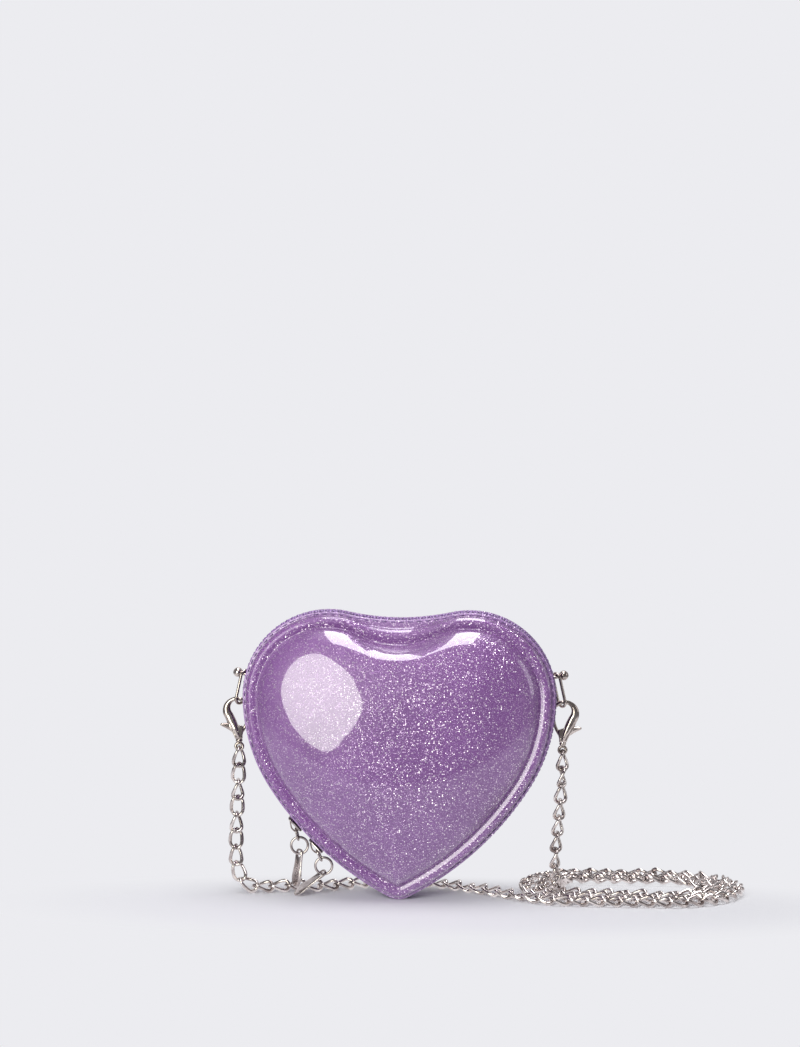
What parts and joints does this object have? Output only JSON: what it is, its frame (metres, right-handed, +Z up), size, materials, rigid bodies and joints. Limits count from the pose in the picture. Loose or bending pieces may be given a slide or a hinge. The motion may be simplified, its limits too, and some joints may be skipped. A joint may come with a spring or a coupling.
{
  "type": "heart shaped purse",
  "caption": "Hard moulded heart purse of two domed shells joined by a zip with two sliders, on a chain strap with spring clasps.",
  "frame": {"origin": "floor level under the tip, in the middle of the purse", "axes": "+X to the purse's right as seen from the front, -Y out of its front, +Z up"},
  "size_m": [0.2562, 0.0834, 0.1413],
  "materials": {
    "shell_pvc": "glossy clear coat over dense silver glitter",
    "zip_cloth": "woven purple tape",
    "zip_teeth": "moulded purple teeth",
    "bright_nickel": "pale polished nickel",
    "dark_nickel": "darker polished nickel"
  },
  "bodies": {
    "purse_back": {"back_shell": "shell_pvc", "zip_tape_back": "zip_cloth", "zip_teeth_back": "zip_teeth", "zip_stops": "dark_nickel", "hinge_strip": "zip_cloth", "stud_left": "bright_nickel", "stud_right": "bright_nickel", "stud_washer_left": "dark_nickel", "stud_washer_right": "dark_nickel", "stud_nut_left": "dark_nickel", "stud_nut_right": "dark_nickel", "chain_left_drop": "dark_nickel", "chain_floor_run": "dark_nickel", "chain_coil_outer": "dark_nickel", "chain_coil_middle": "dark_nickel", "chain_coil_inner": "dark_nickel", "chain_right_drop": "dark_nickel"},
    "purse_front": {"front_shell": "shell_pvc", "zip_tape_front": "zip_cloth", "zip_teeth_front": "zip_teeth"},
    "upper_slider": {"upper_slider": "dark_nickel"},
    "upper_link": {"upper_pull_link": "dark_nickel"},
    "upper_ring": {"upper_pull_ring": "dark_nickel"},
    "upper_tab": {"upper_pull_tab": "dark_nickel"},
    "lower_slider": {"lower_slider": "dark_nickel"},
    "lower_link": {"lower_pull_link": "dark_nickel"},
    "lower_ring": {"lower_pull_ring": "dark_nickel"},
    "lower_tab": {"lower_pull_tab": "dark_nickel"},
    "oval_left": {"oval_link_left": "bright_nickel"},
    "oval_right": {"oval_link_right": "bright_nickel"},
    "clasp_left": {"clasp_body_left": "bright_nickel", "clasp_pin_left": "dark_nickel", "clasp_spring_left": "dark_nickel"},
    "clasp_right": {"clasp_body_right": "bright_nickel", "clasp_pin_right": "dark_nickel", "clasp_spring_right": "dark_nickel"},
    "trigger_left": {"clasp_trigger_left": "bright_nickel"},
    "trigger_right": {"clasp_trigger_right": "bright_nickel"}
  },
  "joints": [
    {"name": "front_fold", "type": "hinge", "parent": "purse_back", "child": "purse_front", "pos_m": [0, 0, 0], "axis": [1, 0, 0], "range_deg": [0, 65]},
    {"name": "upper_slider_travel", "type": "hinge", "parent": "purse_back", "child": "upper_slider", "pos_m": [0.06548, 0, 0.13629], "axis": [0, 1, 0], "range_deg": [0, 7]},
    {"name": "upper_link_swing", "type": "hinge", "parent": "upper_slider", "child": "upper_link", "pos_m": [-0.05067, 0, 0.03344], "axis": [0, 1, 0], "range_deg": [0, 70]},
    {"name": "upper_ring_swing", "type": "hinge", "parent": "upper_link", "child": "upper_ring", "pos_m": [-0.04933, 0, 0.02764], "axis": [0, 1, 0], "range_deg": [0, 35]},
    {"name": "upper_tab_swing", "type": "hinge", "parent": "upper_ring", "child": "upper_tab", "pos_m": [-0.04885, 0, 0.02488], "axis": [0, 1, 0], "range_deg": [0, 35]},
    {"name": "lower_slider_travel", "type": "hinge", "parent": "purse_back", "child": "lower_slider", "pos_m": [0.06548, 0, 0.13629], "axis": [0, 1, 0], "range_deg": [-4.2, 0]},
    {"name": "lower_link_swing", "type": "hinge", "parent": "lower_slider", "child": "lower_link", "pos_m": [-0.04048, 0, 0.02296], "axis": [0, 1, 0], "range_deg": [0, 4]},
    {"name": "lower_ring_swing", "type": "hinge", "parent": "lower_link", "child": "lower_ring", "pos_m": [-0.03797, 0, 0.01757], "axis": [0, 1, 0], "range_deg": [0, 3.5]},
    {"name": "lower_tab_swing", "type": "hinge", "parent": "lower_ring", "child": "lower_tab", "pos_m": [-0.03701, 0, 0.01494], "axis": [0, 1, 0], "range_deg": [0, 3.5]},
    {"name": "oval_left_swing", "type": "hinge", "parent": "purse_back", "child": "oval_left", "pos_m": [-0.0759, 0.0076, 0.10815], "axis": [0.9767, 0, -0.2147], "range_deg": [0, 60], "deforming": ["chain_left_drop"]},
    {"name": "clasp_left_swing", "type": "hinge", "parent": "oval_left", "child": "clasp_left", "pos_m": [-0.07911, 0.0076, 0.09355], "axis": [0, 1, 0], "range_deg": [0, 30], "deforming": ["chain_left_drop"]},
    {"name": "trigger_left_press", "type": "hinge", "parent": "clasp_left", "child": "trigger_left", "pos_m": [-0.07931, 0.0076, 0.07975], "axis": [0, -1, 0], "range_deg": [0, 20], "stiffness_Nm_per_rad": 0.004, "springref_deg": -5.73, "deforming": ["clasp_spring_left"]},
    {"name": "oval_right_swing", "type": "hinge", "parent": "purse_back", "child": "oval_right", "pos_m": [0.0759, 0.0076, 0.10815], "axis": [0.9767, 0, 0.2147], "range_deg": [0, 60], "deforming": ["chain_right_drop"]},
    {"name": "clasp_right_swing", "type": "hinge", "parent": "oval_right", "child": "clasp_right", "pos_m": [0.07911, 0.0076, 0.09355], "axis": [0, -1, 0], "range_deg": [0, 30], "deforming": ["chain_right_drop"]},
    {"name": "trigger_right_press", "type": "hinge", "parent": "clasp_right", "child": "trigger_right", "pos_m": [0.07931, 0.0076, 0.07975], "axis": [0, 1, 0], "range_deg": [0, 20], "stiffness_Nm_per_rad": 0.004, "springref_deg": -5.73, "deforming": ["clasp_spring_right"]}
  ]
}
